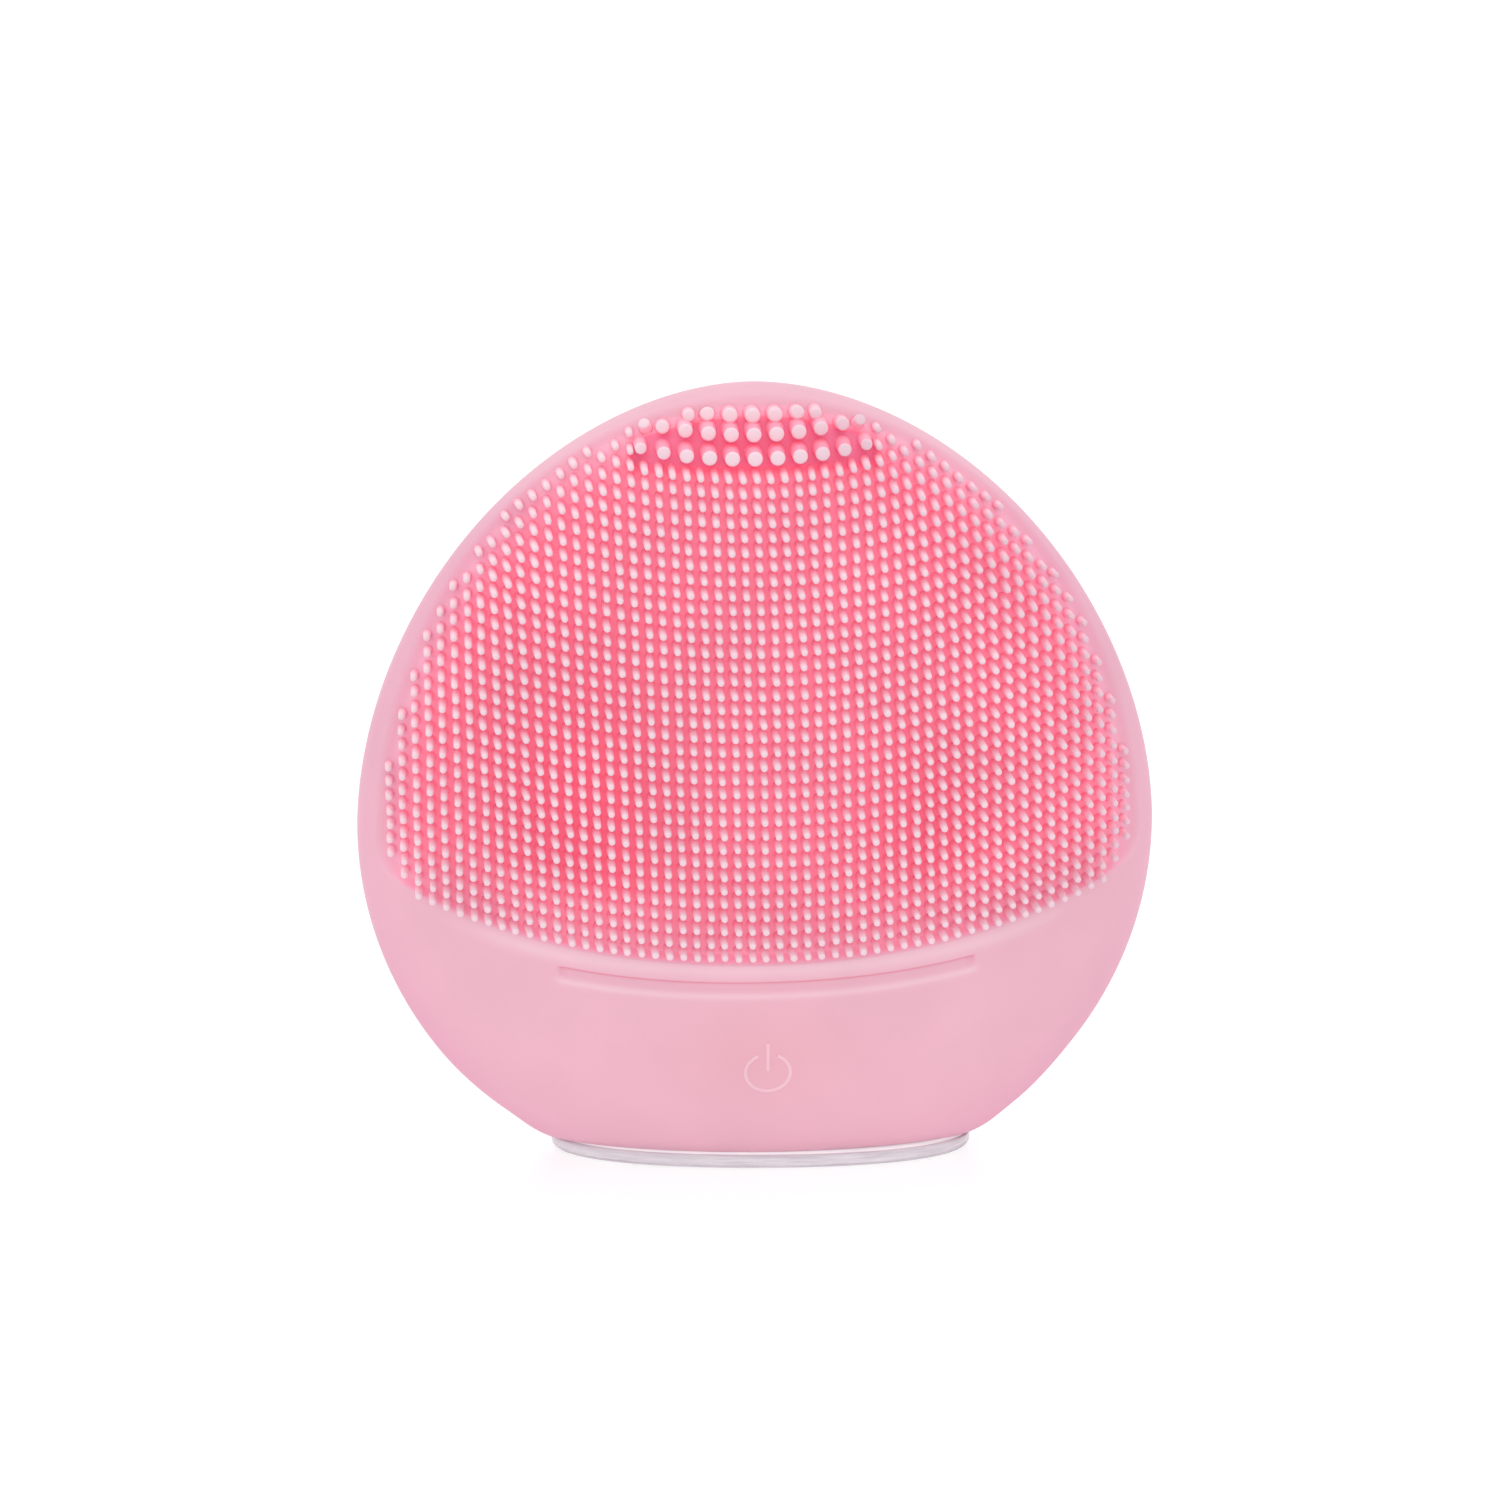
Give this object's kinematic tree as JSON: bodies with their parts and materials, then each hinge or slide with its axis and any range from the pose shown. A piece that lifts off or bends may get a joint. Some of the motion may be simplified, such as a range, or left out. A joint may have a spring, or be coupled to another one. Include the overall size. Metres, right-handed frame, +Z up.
{
  "type": "facial cleansing brush",
  "caption": "Palm-size egg-shaped silicone facial cleansing brush with a field of fine bristles, thick bristles at the crown, a power button and a clear display stand.",
  "frame": {"origin": "middle of the display stand's underside", "axes": "+X to the right as seen from the front, -Y towards the front with the bristles, +Z up"},
  "size_m": [0.08, 0.035, 0.0784],
  "materials": {
    "pink_silicone": "satin",
    "bristle_silicone": "satin",
    "clear_plastic": "clear gloss",
    "white_abs": "moulded satin",
    "seal_rubber": "matte",
    "steel": "plated",
    "motor_steel": "drawn",
    "ferrite": "matte",
    "copper": "wound wire",
    "tungsten": "sintered",
    "board_green": "solder mask",
    "chip_black": "moulded",
    "lens_white": "gloss",
    "battery_foil": "pouch foil",
    "foam": "matte",
    "wire_red": "satin",
    "wire_black": "satin"
  },
  "bodies": {
    "stand": {"display_stand": "clear_plastic"},
    "brush": {"silicone_sleeve": "pink_silicone", "fine_bristle_field": "bristle_silicone", "thick_bristle_field": "bristle_silicone", "front_housing": "white_abs", "rear_housing": "white_abs", "housing_seal": "seal_rubber", "battery": "battery_foil", "battery_pad": "foam", "battery_wire_red": "wire_red", "battery_wire_black": "wire_black", "circuit_board": "board_green", "controller_chip": "chip_black", "charger_chip": "chip_black", "battery_connector": "lens_white", "status_led": "lens_white", "tact_switch": "chip_black", "board_screw_1": "steel", "board_screw_2": "steel", "charging_jack": "chip_black", "jack_pin": "steel", "jack_seal": "seal_rubber", "jack_wire_red": "wire_red", "jack_wire_black": "wire_black", "motor_can": "motor_steel", "motor_end_cap": "white_abs", "motor_magnet": "ferrite", "motor_damper": "seal_rubber", "motor_clamp": "white_abs", "clamp_screw_1": "steel", "clamp_screw_2": "steel", "housing_screw_1": "steel", "housing_screw_2": "steel", "housing_screw_3": "steel", "housing_screw_4": "steel", "motor_wire_red": "wire_red", "motor_wire_black": "wire_black"},
    "button": {"button_plunger": "clear_plastic", "switch_stem": "chip_black"},
    "rotor": {"motor_shaft": "steel", "motor_armature": "copper", "eccentric_weight": "tungsten"}
  },
  "joints": [
    {"name": "brush_lift", "type": "slide", "parent": "stand", "child": "brush", "axis": [0, 0, 1], "range_m": [0, 0.06]},
    {"name": "power_button", "type": "slide", "parent": "brush", "child": "button", "axis": [0, 0.9461, 0.3239], "range_m": [0, 0.0004], "stiffness_N_per_m": 2500},
    {"name": "motor_spin", "type": "hinge", "parent": "brush", "child": "rotor", "pos_m": [0, 0, 0.0579], "axis": [1, 0, 0], "continuous": true}
  ]
}
